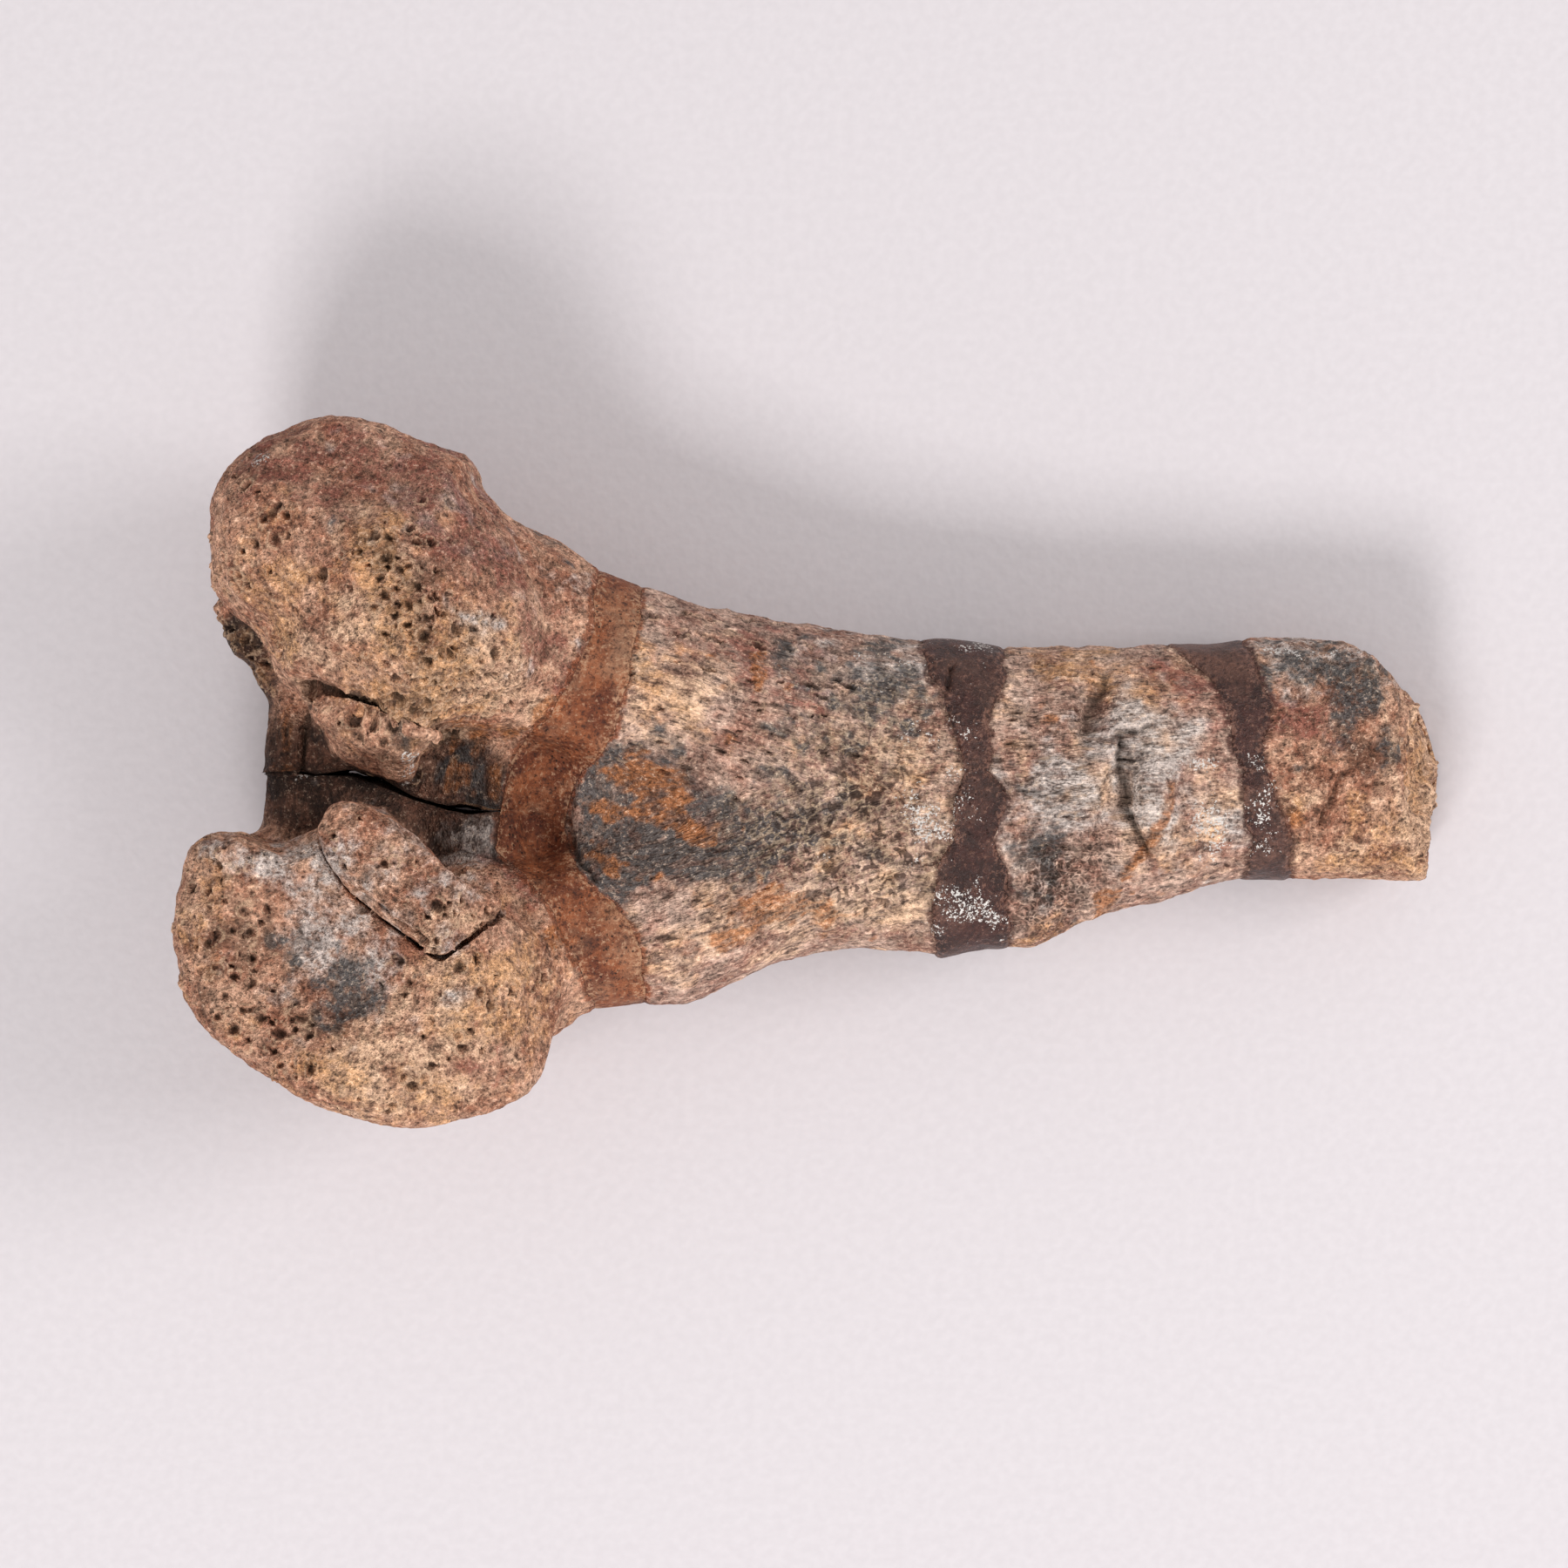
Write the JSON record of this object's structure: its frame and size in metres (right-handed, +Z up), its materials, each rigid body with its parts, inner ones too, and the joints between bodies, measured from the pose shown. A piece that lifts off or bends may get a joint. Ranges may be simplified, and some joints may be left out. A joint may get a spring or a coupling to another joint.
{
  "type": "fossil maiasaura tail chevron",
  "caption": "Y-shaped fossil tail bone lying flat, with two rounded heads, a cleft between them, a flattened shaft and putty-filled breaks.",
  "frame": {"origin": "middle of the bone's length and width, on the surface that it lies on", "axes": "+X along the shaft, from the heads to the broken end; +Y towards the head that is uppermost in the picture; +Z up from the surface"},
  "size_m": [0.1478, 0.0812, 0.0464],
  "materials": {
    "tan_bone": "matt, pitted fossil bone",
    "grey_bone": "matt, fibrous and porous fossil bone",
    "orange_putty": "matt filler with pinholes",
    "maroon_putty": "slightly satin filler with white flecks"
  },
  "bodies": {
    "root": {"head_upper": "tan_bone", "head_lower": "tan_bone", "facet_chip": "tan_bone", "fork_putty": "orange_putty", "shaft_root": "grey_bone", "band_inner": "maroon_putty", "shaft_middle": "grey_bone", "band_outer": "maroon_putty", "shaft_tip": "tan_bone"}
  },
  "joints": []
}
